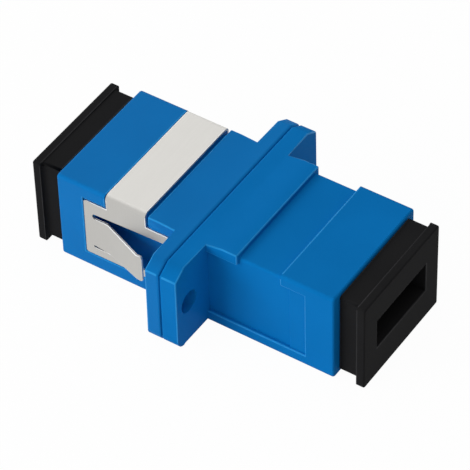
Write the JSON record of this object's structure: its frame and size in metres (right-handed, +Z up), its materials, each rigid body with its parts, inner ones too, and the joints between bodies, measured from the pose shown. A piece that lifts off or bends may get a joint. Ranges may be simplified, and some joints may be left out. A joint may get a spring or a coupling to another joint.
{
  "type": "fibre optic adapter",
  "caption": "Flanged rectangular fibre adapter with a plug port at each end, a sprung steel panel clip and pull-off dust caps.",
  "frame": {"origin": "on the ferrule axis, in the plane where the two halves of the flange meet", "axes": "+X along the ferrule axis towards the front port, +Y across the width along the flange, +Z up through the clip band"},
  "size_m": [0.0338, 0.022, 0.0097],
  "materials": {
    "blue_plastic": "satin moulded PBT",
    "natural_plastic": "natural moulded plastic",
    "zirconia": "ground white ceramic",
    "stainless": "satin stainless sheet",
    "black_plastic": "soft matt"
  },
  "bodies": {
    "adapter": {"rear_housing": "blue_plastic", "front_housing": "blue_plastic", "rear_holder": "natural_plastic", "front_holder": "natural_plastic", "split_sleeve": "zirconia", "panel_clip": "stainless"},
    "rear_dust_cap": {"rear_cap": "black_plastic"},
    "front_dust_cap": {"front_cap": "black_plastic"}
  },
  "joints": [
    {"name": "front_cap_slide", "type": "slide", "parent": "adapter", "child": "front_dust_cap", "axis": [1, 0, 0], "range_m": [0, 0.045]},
    {"name": "rear_cap_slide", "type": "slide", "parent": "adapter", "child": "rear_dust_cap", "axis": [-1, 0, 0], "range_m": [0, 0.045]}
  ]
}
